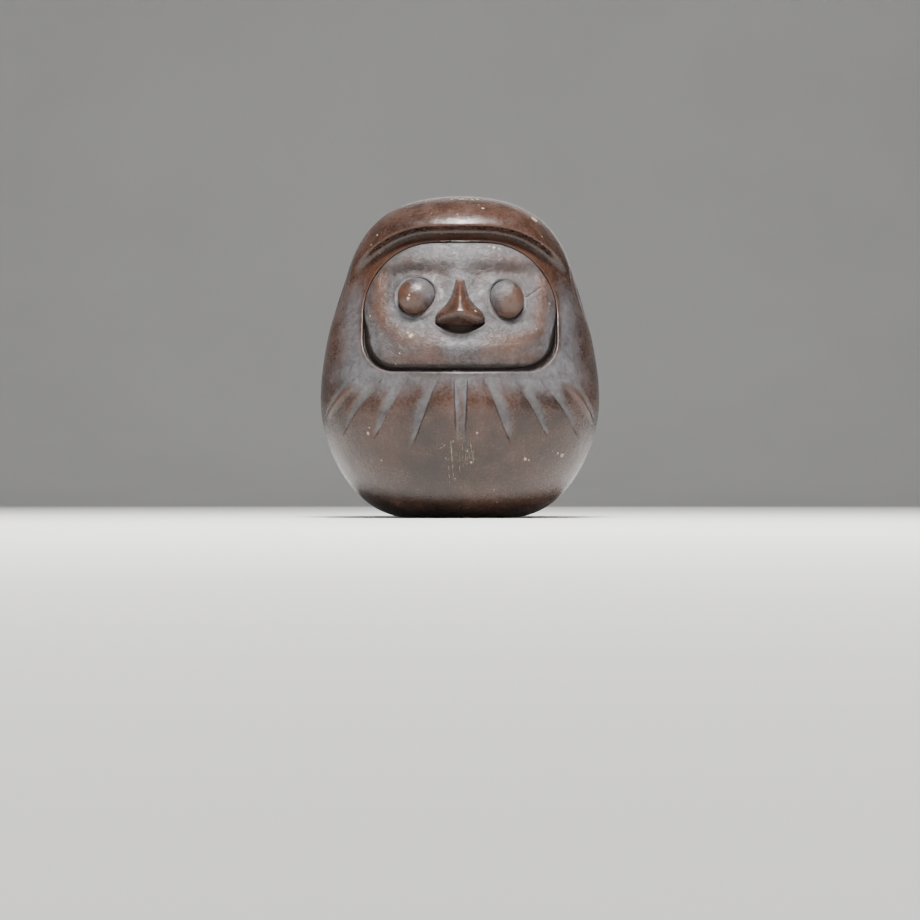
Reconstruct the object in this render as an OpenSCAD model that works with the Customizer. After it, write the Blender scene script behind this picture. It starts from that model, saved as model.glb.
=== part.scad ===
// Daruma doll: a hollow pressed body in two halves, with a separate face,
// turned eyes and nose, and a clay weight in its rounded bottom.
// The origin is the centre of the flat foot, +Z is up and the face looks along -Y.

/* [Body] */
// Greatest width of the body
body_w = 140; // [134:1:146]
// Height from the foot to the crown
body_h = 161; // [156:1:168]
// Height of the widest point
belly_z = 61; // [58:1:64]
// Width across the shoulders, where the sides turn in to the crown
shoulder_w = 113.2; // [110:0.2:116]
// Height of the shoulders
shoulder_z = 123.8; // [121:0.2:126]
// Lean of the sides at the shoulders, from upright
shoulder_lean = 17.7; // [15:0.1:20]
// Diameter of the flat foot
foot_d = 56; // [54:1:58]
// Thickness of the pressed wall
wall = 4.5; // [4:0.1:5]

/* [Hood and collar] */
// Half width of the face opening
opening_half_w = 47.3; // [45:0.1:47.6]
// Height of the opening's lower edge
opening_bottom = 70.5; // [69:0.5:73]
// Height of the opening's upper edge
opening_top = 133.6; // [132:0.2:135]
// Radius of the opening's lower corners
lower_corner_r = 16; // [13:0.5:18]
// Radius of the opening's upper corners
upper_corner_r = 34; // [31:0.5:35]
// Radius of the rolled lip across the forehead
roll_r = 8; // [7:0.2:8.6]
// How far the rolled lip stands out of the body
roll_rise = 4; // [3:0.2:5]
// Height of the middle of the lip over the forehead
roll_top = 144; // [143:0.2:145]
// Radius of the hollow between the lip and the face
cove_r = 6; // [5:0.2:7]
// Depth of that hollow
cove_depth = 3; // [1.6:0.1:3.2]
// Depth of the pleat grooves at the collar
pleat_depth = 2.6; // [1.6:0.2:3]
// Height at which the pleat grooves run out
pleat_end_z = 37; // [35:1:41]

/* [Face] */
// How far the face is set back from the body's surface at its lower edge
face_set_back = 3.2; // [2.8:0.1:4]
// How far the face is set back at its upper edge
brow_set_back = 1.6; // [1.4:0.1:3]
// Thickness of the face
face_t = 3.2; // [2.8:0.1:3.6]
// How far the face reaches behind the edge of the opening
face_lap = 5; // [3:0.5:6]
// Diameter of an eye
eye_d = 18.8; // [17:0.2:20]
// Distance from the middle of the face to the middle of an eye
eye_x = 22.2; // [20.5:0.1:23]
// Height of the eyes
eye_z = 106.8; // [105:0.2:109]
// Height that an eye stands out of the face
eye_rise = 7.4; // [6:0.2:8.2]
// Width across the nose
nose_w = 24; // [21:0.5:26]
// Height of the nose above its wings
nose_h = 23; // [20:0.5:25]
// How far the nose stands out of the face
nose_rise = 9.4; // [7:0.2:10]
// Diameter of the pegs that hold the eyes and the nose
peg_d = 3.9; // [3:0.1:4.4]

/* [Base] */
// Height of the clay weight's rim
weight_top = 32; // [24:1:36]
// Diameter of the wooden disc in the foot
disc_d = 49.6; // [46:0.2:50]
// Thickness of the wooden disc
disc_t = 3; // [2.4:0.2:3.4]
// Thickness of the paper glued over the disc
cover_t = 0.6; // [0.4:0.1:0.8]
// Diameter of the bamboo nails
nail_d = 1.8; // [1.4:0.1:2.2]

/* [Hidden] */
$fn = 96;

// Layer of glue between two glued surfaces
glue = 0.15;
// Clearance round a peg, a nail or the disc
clearance = 0.05;
// A length past every surface of the doll, for cuts
far = 200;
// Thickness and width of the strip glued over the joint inside
band_t = 1.2;
band_w = 16;
// Height of the foot's shelf, which carries the disc, above the disc
shelf_t = 3.6;
// Radius of the hole in that shelf, which the clay plugs
shelf_hole_r = 17;
// Recess of the paper cover above the ground
cover_lift = 0.3;
// How deep the nails go into the shelf
nail_bite = 2.6;
// Depth of the round seats in which the eyes are glued
eye_seat_depth = 2;
// How deep the pegs go into the eyes and the nose
peg_depth = 4;
// Height of the nose's peg
nose_z = 98;

foot_r = foot_d / 2;
nail_circle_r = (shelf_hole_r + disc_d / 2) / 2;
disc_z = cover_lift + cover_t;
shelf_z = disc_z + disc_t;

// The body's outline is three Bezier curves: foot to belly, belly to shoulder,
// and shoulder to crown. Each has the radius first and the height second.
lean = [-sin(shoulder_lean), cos(shoulder_lean)];
foot = [foot_r, 0];
belly = [body_w / 2, belly_z];
shoulder = [shoulder_w / 2, shoulder_z];
crown = [0, body_h];
under_curve = [foot, foot + [28.8, 3.4], belly - [0, 24], belly];
side_curve = [belly, belly + [0, 20.4], shoulder - 19.3 * lean, shoulder];
crown_curve = [shoulder, shoulder + 28.7 * lean, crown + [31, 0], crown];

function bezier(p, t) =
    pow(1 - t, 3) * p[0] + 3 * pow(1 - t, 2) * t * p[1]
    + 3 * (1 - t) * t * t * p[2] + pow(t, 3) * p[3];
function curve(p, count) = [for (i = [0 : count - 1]) bezier(p, i / count)];

outline = concat(curve(under_curve, 12), curve(side_curve, 8), curve(crown_curve, 12), [crown]);
last = len(outline) - 1;

// Direction into the body at point i of the outline
function inward(i) =
    i == last ? [0, -1]
    : let (step = outline[i + 1] - outline[max(i - 1, 0)])
        [-step[1], step[0]] / norm(step);

// The outline moved into the body by depth, or by a depth that fades downwards
function inset(depth) = [for (i = [0 : last]) outline[i] + depth * inward(i)];
function pleat_floor() = [
    for (i = [0 : last])
        outline[i] + inward(i) * pleat_depth
            * min(1, max(-1, (outline[i][1] - pleat_end_z) / (opening_bottom - pleat_end_z - 8)))
];

// Radius at height z of the solid turned from points
function radius_of(points, z) = lookup(z, [for (p = points) [p[1], p[0]]]);
function radius_at(z, depth) = radius_of(inset(depth), z);

// The face's outline, set back further from the body at the chin than at the brow
function face_set(z) =
    face_set_back + (brow_set_back - face_set_back)
        * min(1, max(0, (z - opening_bottom) / (opening_top - opening_bottom)));
function face_outline() = [for (i = [0 : last]) outline[i] + face_set(outline[i][1]) * inward(i)];

function arc(centre, r, start, end, count) = [
    for (i = [0 : count])
        let (a = start + (end - start) * i / count)
            centre + r * [cos(a), sin(a)]
];

// Right half of the face opening, from the lower middle to the upper middle
lower_corner = [opening_half_w - lower_corner_r, opening_bottom + lower_corner_r];
upper_corner = [opening_half_w - upper_corner_r, opening_top - upper_corner_r];
function opening_half(grow) = concat(
    arc(lower_corner, lower_corner_r + grow, -90, 0, 6),
    arc(upper_corner, upper_corner_r + grow, 0, 90, 10)
);
function mirrored(points) = [for (i = [len(points) - 1 : -1 : 0]) [-points[i][0], points[i][1]]];

// Turns a shape of the half outline into a solid of revolution
module revolve(points) {
    rotate_extrude()
        polygon(concat([[0, points[0][1]]], points));
}

module body_solid(depth) {
    revolve(inset(depth));
}

// The opening's outline, run along Y through the front of the body
module opening_prism(grow) {
    rotate([90, 0, 0])
        linear_extrude(height = far)
            polygon(concat(opening_half(grow), mirrored(opening_half(grow))));
}

// One half of all space: 1 is behind the joint and -1 is in front of it
module half_space(side) {
    translate([-far, side > 0 ? 0 : -2 * far, -far])
        cube([2 * far, 2 * far, 3 * far]);
}

// Puts children on the face, with Z along the surface's outward normal
module on_face(x, z) {
    r = radius_of(face_outline(), z);
    slope = (radius_of(face_outline(), z + 1) - radius_of(face_outline(), z - 1)) / 2;
    rotate([0, 0, asin(x / r)])
        translate([0, -r, z])
            rotate([90 + atan(slope), 0, 0])
                children();
}

// Arch over the opening in the XZ plane, half_w wide on each side of the middle and
// reaching from the temples at angle -90 and 90 up to top_z. Past 90 it runs straight down.
function arch(angle, half_w, top_z) =
    let (
        a = min(90, abs(angle)),
        side = sign(angle),
        square = 0.7,
        past = abs(angle) - a
    )
        [
            side * half_w * pow(sin(a), square),
            upper_corner[1] + (top_z - upper_corner[1]) * pow(cos(a), square) - past
        ];

// Point on the body inset by depth, straight behind a point of the XZ plane
function behind(p, depth) =
    [p[0], -sqrt(pow(radius_at(p[1], depth), 2) - p[0] * p[0]), p[1]];

// Tube along points, with a radius for each of them and its sides turned to the front
module sweep(points, radii) {
    sides = 16;
    count = len(points);
    rings = [
        for (i = [0 : count - 1])
            let (
                along = points[min(i + 1, count - 1)] - points[max(i - 1, 0)],
                out = cross(along, [0, -1, 0]) / norm(cross(along, [0, -1, 0])),
                front = cross(out, along) / norm(cross(out, along))
            )
                for (k = [0 : sides - 1])
                    points[i] + radii[i] * (cos(360 * k / sides) * out + sin(360 * k / sides) * front)
    ];
    walls = [
        for (i = [0 : count - 2], k = [0 : sides - 1])
            let (next = (k + 1) % sides)
                each [
                    [i * sides + k, i * sides + next, (i + 1) * sides + k],
                    [i * sides + next, (i + 1) * sides + next, (i + 1) * sides + k]
                ]
    ];
    start_cap = [for (k = [sides - 1 : -1 : 0]) k];
    end_cap = [for (k = [0 : sides - 1]) (count - 1) * sides + k];
    polyhedron(rings, concat(walls, [start_cap, end_cap]));
}

// Rolled lip over the forehead, sinking into the body at the temples
module hood_roll() {
    angles = [-104 : 8 : 104];
    half_w = opening_half_w + 7.7;
    radius = function(a) roll_r - 2 * min(1, abs(a) / 70);
    sunk = function(a) radius(a) - roll_rise + 3.5 * pow(max(0, abs(a) - 60) / 44, 2);
    difference() {
        sweep(
            [for (a = angles) behind(arch(a, half_w, roll_top), sunk(a))],
            [for (a = angles) radius(a)]
        );
        body_solid(wall);
    }
}

// Hollow between the lip and the face, narrow over the forehead and wide at the cheeks
module hood_cove() {
    angles = [-115 : 10 : 115];
    half_w = opening_half_w + 3.8;
    radius = function(a) cove_r * (0.7 + 0.3 * min(1, abs(a) / 60));
    sweep(
        [for (a = angles) behind(arch(a, half_w, opening_top + 2.6), cove_depth - radius(a))],
        [for (a = angles) radius(a)]
    );
}

// Outline of one pleat groove from the collar down, in the XZ plane
module pleat(top_x, end_x, top_w, end_z) {
    top_z = opening_bottom - 2.5;
    end_w = 1.2;
    rotate([90, 0, 0])
        linear_extrude(height = far)
            polygon([
                [top_x - top_w / 2, top_z],
                [end_x - end_w / 2, end_z],
                [end_x + end_w / 2, end_z],
                [top_x + top_w / 2, top_z]
            ]);
}

// Grooves that part the robe below the collar, fanning out from the middle
module pleat_cuts() {
    difference() {
        for (side = [-1, 1]) {
            pleat(side * 3, side * 2, 1.8, 34);
            pleat(side * 14.5, side * 23.5, 7.4, 35);
            pleat(side * 29.5, side * 42, 7.4, 39);
            pleat(side * 41.5, side * 56.5, 6.4, 41);
        }
        revolve(pleat_floor());
    }
}

// Wall of the body with the foot's shelf, before it is cut into halves
module pressed_wall() {
    shelf_top = shelf_z + shelf_t;
    difference() {
        body_solid(0);
        difference() {
            body_solid(wall);
            cylinder(r = foot_r + 12, h = shelf_top);
        }
        translate([0, 0, -1])
            cylinder(d = disc_d + 2 * clearance, h = shelf_z + 1);
        cylinder(r = shelf_hole_r, h = far / 4);
        for (a = [45 : 90 : 315])
            rotate([0, 0, a])
                translate([nail_circle_r, 0, 0])
                    cylinder(d = nail_d + 2 * clearance, h = shelf_z + nail_bite);
    }
}

module front_shell() {
    color([0.23, 0.15, 0.12])
        difference() {
            intersection() {
                union() {
                    pressed_wall();
                    hood_roll();
                }
                half_space(-1);
            }
            hood_cove();
            opening_prism(0);
            pleat_cuts();
        }
}

module back_shell() {
    color([0.2, 0.13, 0.11])
        intersection() {
            pressed_wall();
            half_space(1);
        }
}

// Strip glued inside over the joint, above the clay
module seam_band() {
    color([0.72, 0.66, 0.52])
        intersection() {
            difference() {
                body_solid(wall + glue);
                body_solid(wall + glue + band_t);
            }
            translate([-far, -band_w / 2, weight_top + 1])
                cube([2 * far, band_w, far]);
        }
}

// Ball sunk in the face so that it stands out by rise
module swelling(x, z, r, rise) {
    on_face(x, z)
        translate([0, 0, rise - r])
            sphere(r);
}

module peg_bore(x, z) {
    on_face(x, z)
        translate([0, 0, -10])
            cylinder(d = peg_d + 2 * clearance, h = 20);
}

// Round seat with a flat floor, in which an eye is glued
module eye_seat(side) {
    on_face(side * eye_x, eye_z)
        translate([0, 0, -eye_seat_depth])
            cylinder(d = eye_d + 2 * glue, h = 10);
}

// Smiling line below the nose: what is left of a disc when a disc above it is taken away
module mouth_cut() {
    mouth_r = 15;
    on_face(0, 90.5)
        translate([0, mouth_r - 2, -1.4])
            difference() {
                cylinder(r = mouth_r, h = 10);
                translate([0, 2.6, -1])
                    cylinder(r = mouth_r, h = 12);
            }
}

module face_panel() {
    color([0.19, 0.15, 0.13])
        difference() {
            union() {
                intersection() {
                    body_solid(wall + glue);
                    opening_prism(face_lap);
                }
                intersection() {
                    union() {
                        revolve(face_outline());
                        swelling(0, 124, 30, 1.4);
                        for (side = [-1, 1])
                            swelling(side * 28, 89, 24, 1.4);
                    }
                    opening_prism(-0.6);
                }
            }
            body_solid(wall + glue + face_t);
            mouth_cut();
            for (side = [-1, 1]) {
                eye_seat(side);
                peg_bore(side * eye_x, eye_z);
            }
            peg_bore(0, nose_z);
        }
}

module eye(side) {
    color([0.27, 0.19, 0.16])
        on_face(side * eye_x, eye_z)
            difference() {
                intersection() {
                    translate([0, 0, eye_rise - eye_d / 2])
                        sphere(d = eye_d);
                    translate([0, 0, glue - eye_seat_depth])
                        cylinder(d = 2 * eye_d, h = eye_d);
                }
                translate([0, 0, -eye_seat_depth - 1])
                    cylinder(d = peg_d + 2 * clearance, h = eye_seat_depth + 1 + peg_depth);
            }
}

// Peg through the face, from inside the body into the eye or the nose
module peg(x, z) {
    color([0.74, 0.6, 0.4])
        on_face(x, z)
            translate([0, 0, -face_t - 3.5])
                cylinder(d = peg_d, h = face_t + 3.2 + peg_depth);
}

// Wedge with a narrow bridge and round wings, its back fitted to the face
module nose() {
    wing_r = 4.4;
    tip_r = 4;
    bridge_r = 2.4;
    color([0.25, 0.17, 0.13])
        difference() {
            on_face(0, nose_z)
                hull($fn = 32) {
                    translate([0, -1, nose_rise - tip_r])
                        sphere(tip_r);
                    for (side = [-1, 1])
                        translate([side * (nose_w / 2 - wing_r), -2.5, 1])
                            sphere(wing_r);
                    translate([0, nose_h - 7 - bridge_r, 0])
                        sphere(bridge_r);
                }
            translate([0, -clearance, 0])
                revolve(face_outline());
            on_face(0, nose_z)
                cylinder(d = peg_d + 2 * clearance, h = peg_depth);
        }
}

// Clay pressed into the bottom, with a dished top and a plug in the shelf's hole
module base_weight() {
    dish_r = 120;
    dish_depth = 5;
    color([0.6, 0.46, 0.32])
        difference() {
            union() {
                difference() {
                    body_solid(wall + glue);
                    cylinder(r = foot_r + 12 + glue, h = shelf_z + shelf_t + glue);
                    translate([-far, -far, weight_top])
                        cube([2 * far, 2 * far, far]);
                }
                translate([0, 0, shelf_z + glue])
                    cylinder(r = shelf_hole_r - glue, h = shelf_t + 4);
            }
            translate([0, 0, weight_top + dish_r - dish_depth])
                sphere(dish_r);
        }
}

module base_disc() {
    color([0.66, 0.5, 0.33])
        difference() {
            translate([0, 0, disc_z])
                cylinder(d = disc_d, h = disc_t);
            for (a = [45 : 90 : 315])
                rotate([0, 0, a])
                    translate([nail_circle_r, 0, 0])
                        cylinder(d = nail_d + 2 * clearance, h = far / 4);
        }
}

module base_cover() {
    color([0.5, 0.42, 0.32])
        translate([0, 0, cover_lift])
            cylinder(d = disc_d, h = cover_t);
}

// Four nails through the disc into the shelf
module base_nails() {
    color([0.8, 0.68, 0.45])
        for (a = [45 : 90 : 315])
            rotate([0, 0, a])
                translate([nail_circle_r, 0, disc_z + clearance])
                    cylinder(d = nail_d, h = disc_t + nail_bite - 2 * clearance);
}

front_shell();
back_shell();
seam_band();
face_panel();
eye(-1);  // left_eye
eye(1);  // right_eye
peg(-eye_x, eye_z);  // left_eye_pin
peg(eye_x, eye_z);  // right_eye_pin
nose();
peg(0, nose_z);  // nose_pin
base_weight();
base_disc();
base_cover();
base_nails();
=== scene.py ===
"""A daruma doll of dark, worn lacquer: a hollow body in two halves, a face set in its hood, ball eyes and
a wedge nose. The shapes are distance fields in millimetres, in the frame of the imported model, meshed on a
voxel grid. Every field is below 0 inside its piece."""

import math

import bmesh
import bpy
import numpy as np
import openvdb
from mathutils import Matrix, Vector


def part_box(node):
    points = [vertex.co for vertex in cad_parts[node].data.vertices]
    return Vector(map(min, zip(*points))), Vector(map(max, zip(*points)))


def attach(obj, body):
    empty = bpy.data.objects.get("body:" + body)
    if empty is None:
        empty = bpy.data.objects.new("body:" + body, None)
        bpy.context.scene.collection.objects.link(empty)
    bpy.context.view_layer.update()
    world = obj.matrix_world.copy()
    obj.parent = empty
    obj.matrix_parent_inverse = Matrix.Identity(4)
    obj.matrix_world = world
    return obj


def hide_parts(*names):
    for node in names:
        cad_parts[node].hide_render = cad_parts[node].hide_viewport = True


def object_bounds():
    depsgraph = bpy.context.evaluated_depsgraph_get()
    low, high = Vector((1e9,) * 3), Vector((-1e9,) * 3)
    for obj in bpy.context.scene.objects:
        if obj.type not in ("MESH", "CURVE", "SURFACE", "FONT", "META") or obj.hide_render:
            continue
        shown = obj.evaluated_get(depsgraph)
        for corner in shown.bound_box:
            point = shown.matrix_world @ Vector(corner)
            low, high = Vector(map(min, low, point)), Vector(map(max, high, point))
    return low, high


MM = 0.001  # a millimetre in metres

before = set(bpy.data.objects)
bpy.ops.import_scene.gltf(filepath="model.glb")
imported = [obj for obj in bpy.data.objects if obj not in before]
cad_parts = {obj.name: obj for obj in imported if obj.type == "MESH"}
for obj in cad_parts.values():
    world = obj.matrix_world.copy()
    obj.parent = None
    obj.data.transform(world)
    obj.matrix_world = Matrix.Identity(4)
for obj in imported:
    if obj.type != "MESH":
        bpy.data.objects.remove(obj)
cad_low, cad_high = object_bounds()

# ---------------------------------------------------------------- driving sizes, in millimetres

BODY_W = (cad_high.x - cad_low.x) / MM
BODY_H = (cad_high.z - cad_low.z) / MM
BELLY_Z = 61.0
# Radius and height of the shoulder, and how far the outline leans inwards there
SHOULDER = (56.6, 123.8)
SHOULDER_LEAN = math.radians(17.7)
FOOT_R = 28.0
WALL = 4.5
SHELF_TOP = 7.5  # top of the shelf in the foot, which carries the disc and the clay
SHELF_R = 40.0

OPENING_HALF_W = 47.3
OPENING_BOTTOM = 70.5
OPENING_TOP = 133.6
LOWER_CORNER_R = 16.0
UPPER_CORNER_R = 34.0

# The face's flange behind the opening's edge, its thickness and the layer of paste
FACE_LAP = 5.0
FACE_T = 3.2
GLUE = 0.15
CHIN_SET_BACK = 3.2
BROW_SET_BACK = 1.6

EYE_R = 9.3
EYE_LIFT = -1.6  # from the face's surface out to the middle of an eye
EYE_GAP = 0.12  # left free round an eye
# Where each eye is in the XZ plane, and its width and height as shares of a ball's
EYES = {"left_eye": (-21.5, 107.5, 1.0, 0.97), "right_eye": (23.0, 106.0, 0.93, 1.02)}

TEMPLE_Z = 104.0  # the height that angles round the face are taken from
MESH_ROOM = 2.5  # left free round the body when it is meshed
# Distance between the corners of each mesh
FRONT_STEP = 0.74
BACK_STEP = 1.1
FACE_STEP = 0.55
SMALL_STEP = 0.36


# ---------------------------------------------------------------- camera

def make_camera():
    """The photograph's view: level with the foot, a long lens, looking along +Y and a little up."""
    distance, height, aim = 1.27, 0.010, 0.029
    data = bpy.data.cameras.new("camera")
    data.sensor_width, data.lens = 36.0, 98.7
    data.clip_start, data.clip_end = 0.05, 50.0
    camera = bpy.data.objects.new("camera", data)
    bpy.context.scene.collection.objects.link(camera)
    camera.location = (0.0, -distance, height)
    direction = Vector((0.0, 0.0, aim)) - camera.location
    camera.rotation_euler = direction.to_track_quat("-Z", "Y").to_euler()
    bpy.context.scene.camera = camera


# ---------------------------------------------------------------- distance field tools

def smooth_min(a, b, k):
    """The smaller of two distances, with a fillet about k wide where they meet."""
    h = np.maximum(k - np.abs(a - b), 0.0) / k
    return np.minimum(a, b) - h * h * k * 0.25


def smooth_max(a, b, k):
    """The larger of two distances, with an edge rounded about k wide where they meet."""
    return -smooth_min(-a, -b, k)


def smoothstep(low, high, x):
    """0 at low and before, 1 at high and after, smooth between. With low over high it falls instead."""
    t = np.clip((x - low) / (high - low), 0.0, 1.0)
    return t * t * (3.0 - 2.0 * t)


def mix(a, b, t):
    """From a at 0 to b at 1."""
    return a + (b - a) * t


class Map:
    """A function of two coordinates, kept on a grid so that it is quick to read."""

    def __init__(self, low, high, step, function):
        self.low, self.step = low, step
        axes = [np.arange(low[i], high[i] + step, step) for i in range(2)]
        u, v = np.meshgrid(*axes, indexing="ij")
        self.grid = np.asarray(function(u, v), np.float32)

    def __call__(self, u, v):
        a = np.clip((u - self.low[0]) / self.step, 0, self.grid.shape[0] - 1.001)
        b = np.clip((v - self.low[1]) / self.step, 0, self.grid.shape[1] - 1.001)
        i, j = a.astype(np.int32), b.astype(np.int32)
        fa, fb = a - i, b - j
        g = self.grid
        return (g[i, j] * (1 - fa) + g[i + 1, j] * fa) * (1 - fb) + (
            g[i, j + 1] * (1 - fa) + g[i + 1, j + 1] * fa
        ) * fb


def nearest_on_line(u, v, line):
    """Distance to a line of points, and how far along it the nearest point is, counted in points."""
    best = np.full(u.shape, 1e9)
    along = np.zeros(u.shape)
    for i in range(len(line) - 1):
        (au, av), (bu, bv) = line[i], line[i + 1]
        du, dv = bu - au, bv - av
        t = np.clip(((u - au) * du + (v - av) * dv) / (du * du + dv * dv), 0, 1)
        d = np.hypot(u - au - t * du, v - av - t * dv)
        closer = d < best
        best = np.where(closer, d, best)
        along = np.where(closer, i + t, along)
    return best, along


NOISE_CELLS = 32
NOISE = np.random.default_rng(7).uniform(-1, 1, (NOISE_CELLS,) * 3).astype(np.float32)


def noise(x, y, z, size, shift=0.0):
    """Soft unevenness between -1 and 1, with lumps about size across."""
    cells, parts = [], []
    for value, offset in ((x, 0.37), (y, 0.71), (z, 0.13)):
        value = value / size + shift * (1 + offset) + offset * 10
        cell = np.floor(value)
        part = value - cell
        cells.append(cell.astype(np.int32) % NOISE_CELLS)
        parts.append((part * part * (3 - 2 * part)).astype(np.float32))
    i, j, k = cells
    i1, j1, k1 = ((c + 1) % NOISE_CELLS for c in cells)
    u, v, w = parts
    near = mix(mix(NOISE[i, j, k], NOISE[i1, j, k], u), mix(NOISE[i, j1, k], NOISE[i1, j1, k], u), v)
    far = mix(mix(NOISE[i, j, k1], NOISE[i1, j, k1], u), mix(NOISE[i, j1, k1], NOISE[i1, j1, k1], u), v)
    return mix(near, far, w)


# ---------------------------------------------------------------- outlines

def bezier(p, count):
    """Points of a cubic curve through p[0] and p[3], without its last one."""
    t = np.linspace(0, 1, count, endpoint=False)[:, None]
    p = np.asarray(p, float)
    return (1 - t) ** 3 * p[0] + 3 * (1 - t) ** 2 * t * p[1] + 3 * (1 - t) * t * t * p[2] + t**3 * p[3]


def body_outline():
    """Radius and height of the body, from the rim of the foot up to the crown."""
    lean = np.array([-math.sin(SHOULDER_LEAN), math.cos(SHOULDER_LEAN)])
    foot, belly = np.array([FOOT_R, 0.0]), np.array([BODY_W / 2, BELLY_Z])
    shoulder, crown = np.array(SHOULDER), np.array([0.0, BODY_H])
    # each curve with its two handles between its ends
    under = [foot, foot + [28.8, 3.4], belly - [0, 24], belly]
    side = [belly, belly + [0, 20.4], shoulder - 19.3 * lean, shoulder]
    top = [shoulder, shoulder + 28.7 * lean, crown + [31, 0], crown]
    return np.vstack([bezier(under, 90), bezier(side, 60), bezier(top, 110), [crown]])


OUTLINE = body_outline()


def body_radius(z):
    """The plain body's radius at each height."""
    return np.interp(z, OUTLINE[:, 1], OUTLINE[:, 0])


def body_distance(r, z):
    """Distance to the plain body, turned about Z."""
    line = np.vstack([[[0.0, 0.0]], OUTLINE])
    away, _ = nearest_on_line(r, z, line)
    inside = (r < body_radius(z)) & (z > 0) & (z < BODY_H)
    return np.where(inside, -away, away)


def arc(centre, r, start, end, count):
    """Points of an arc between two angles in degrees."""
    a = np.radians(np.linspace(start, end, count))
    return [(centre[0] + r * math.cos(t), centre[1] + r * math.sin(t)) for t in a]


def opening_outline():
    """The face opening in the XZ plane, anticlockwise, with a lower edge that sags a little."""
    low = (OPENING_HALF_W - LOWER_CORNER_R, OPENING_BOTTOM + LOWER_CORNER_R)
    high = (OPENING_HALF_W - UPPER_CORNER_R, OPENING_TOP - UPPER_CORNER_R)
    half = arc(low, LOWER_CORNER_R, -88, 0, 14) + arc(high, UPPER_CORNER_R, 0, 88, 30)
    sag = [(x, OPENING_BOTTOM - 0.5 * (1 - (x / low[0]) ** 2)) for x in np.linspace(-30, 30, 9)]
    return sag + half + [(-x, z) for x, z in reversed(half)]


def opening_distance(x, z):
    """Distance to the opening's outline in the XZ plane, which is convex."""
    points = np.array(opening_outline())
    closed = np.vstack([points, points[:1]])
    away, _ = nearest_on_line(x, z, closed)
    inside = np.ones(x.shape, bool)
    for (ax, az), (bx, bz) in zip(closed[:-1], closed[1:]):
        inside &= (bx - ax) * (z - az) - (bz - az) * (x - ax) >= 0
    return np.where(inside, -away, away)


BODY = Map((0.0, -12.0), (92.0, 176.0), 0.5, body_distance)
OPENING = Map((-92.0, 40.0), (92.0, 176.0), 0.5, opening_distance)


def around(x, z):
    """Degrees from straight above the middle of the face: 0 over the forehead, 90 at the temples."""
    return np.degrees(np.arctan2(np.abs(x), z - TEMPLE_Z))


def along(rows):
    """A function of that angle for each column of a table, with its corners rounded."""
    rows = np.array(rows, float)
    angle = np.arange(0.0, 181.0)
    soft = np.exp(-((np.arange(-24, 25) / 7.0) ** 2))
    soft /= soft.sum()
    columns = []
    for column in rows.T[1:]:
        values = np.pad(np.interp(angle, rows[:, 0], column), 24, mode="edge")
        columns.append(np.convolve(values, soft, "valid"))
    return lambda a: [np.interp(a, angle, column) for column in columns]


# Angle, then distance of the centre line from the opening, radius, and height over the body
LIP = along([
    (0, 11.4, 11.0, 4.3), (30, 11.9, 10.6, 4.1), (42, 11.8, 9.8, 3.5), (52, 10.4, 8.4, 2.6),
    (64, 8.2, 6.9, 1.3), (76, 6.4, 5.4, 0.2), (90, 6.0, 5.0, -1.2), (105, 6.0, 4.5, -3.5),
    (120, 6.0, 4.0, -7.0), (180, 6.0, 4.0, -9.0),
])
# The same for the hollow between the lip and the face, with its depth below the body
HOLLOW = along([
    (0, 2.0, 5.6, 3.7), (30, 2.0, 5.6, 3.7), (52, 2.6, 6.2, 3.5), (64, 3.4, 7.2, 3.2),
    (76, 4.2, 8.4, 2.8), (90, 4.8, 9.6, 2.3), (104, 5.2, 10.0, 1.6), (116, 5.2, 10.0, 0.4),
    (128, 5.2, 10.0, -1.2), (180, 5.2, 10.0, -4.0),
])


def roll(body, s, angle):
    """The rolled lip, as a pipe that runs along the opening and sinks into the body at the temples."""
    centre, radius, proud = LIP(angle)
    return np.hypot(s - centre, body + radius - proud) - radius


def cove(body, s, angle):
    """The hollow between the lip and the face: steep over the forehead, broad and shallow at the cheeks."""
    centre, radius, depth = HOLLOW(angle)
    return np.hypot(s - centre, body - (radius - depth)) - radius


# ---------------------------------------------------------------- the body's relief

# One groove a row: its angle from the middle at the collar and at its end, the height of its end and
# its depth
PLEATS = [(8.6, 21.4, 33.5, 2.9), (21.0, 39.5, 37.5, 2.9), (32.4, 59.5, 39.0, 2.6), (47.0, 76.0, 47.0, 0.8)]
PLEAT_TOP = 69.6
PLEATS_LOW, PLEATS_HIGH = 28.0, 76.0
STRIP_END = 32.0
STRIP_X = 0.3


def grooves(angle, z):
    """For each groove: its depth, how far outwards of its line a point is, its width there and its fade."""
    side, a, radius = np.sign(angle), np.abs(angle), body_radius(z)
    for n, (top, end, end_z, deep) in enumerate(PLEATS):
        # the two sides were cut by hand, so they differ a little
        end_here = end_z + side * (0.8 - 0.6 * n)
        t = np.clip((PLEAT_TOP - z) / (PLEAT_TOP - end_here), 0, 1.2)
        line = mix(top, end, t**1.12) + side * 0.5
        fade = smoothstep(-0.06, 0.5, t) * (1 - smoothstep(0.62, 1.0, t))
        yield deep, np.radians(a - line) * radius, mix(10.5, 3.2, np.minimum(t, 1)), fade


def collar_dip(angle, z):
    """The swellings between the pleats start a little below the collar's edge."""
    return 1.1 * smoothstep(52.0, 66.0, z) * smoothstep(70.0, 66.5, z) * smoothstep(60.0, 36.0, np.abs(angle))


def middle_strip(angle, z, most):
    """Distance from the strip down the middle, and the share of its length, up to most."""
    x = np.radians(angle) * body_radius(z) - STRIP_X
    return x, np.clip((PLEAT_TOP - z) / (PLEAT_TOP - STRIP_END), 0, most)


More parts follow.
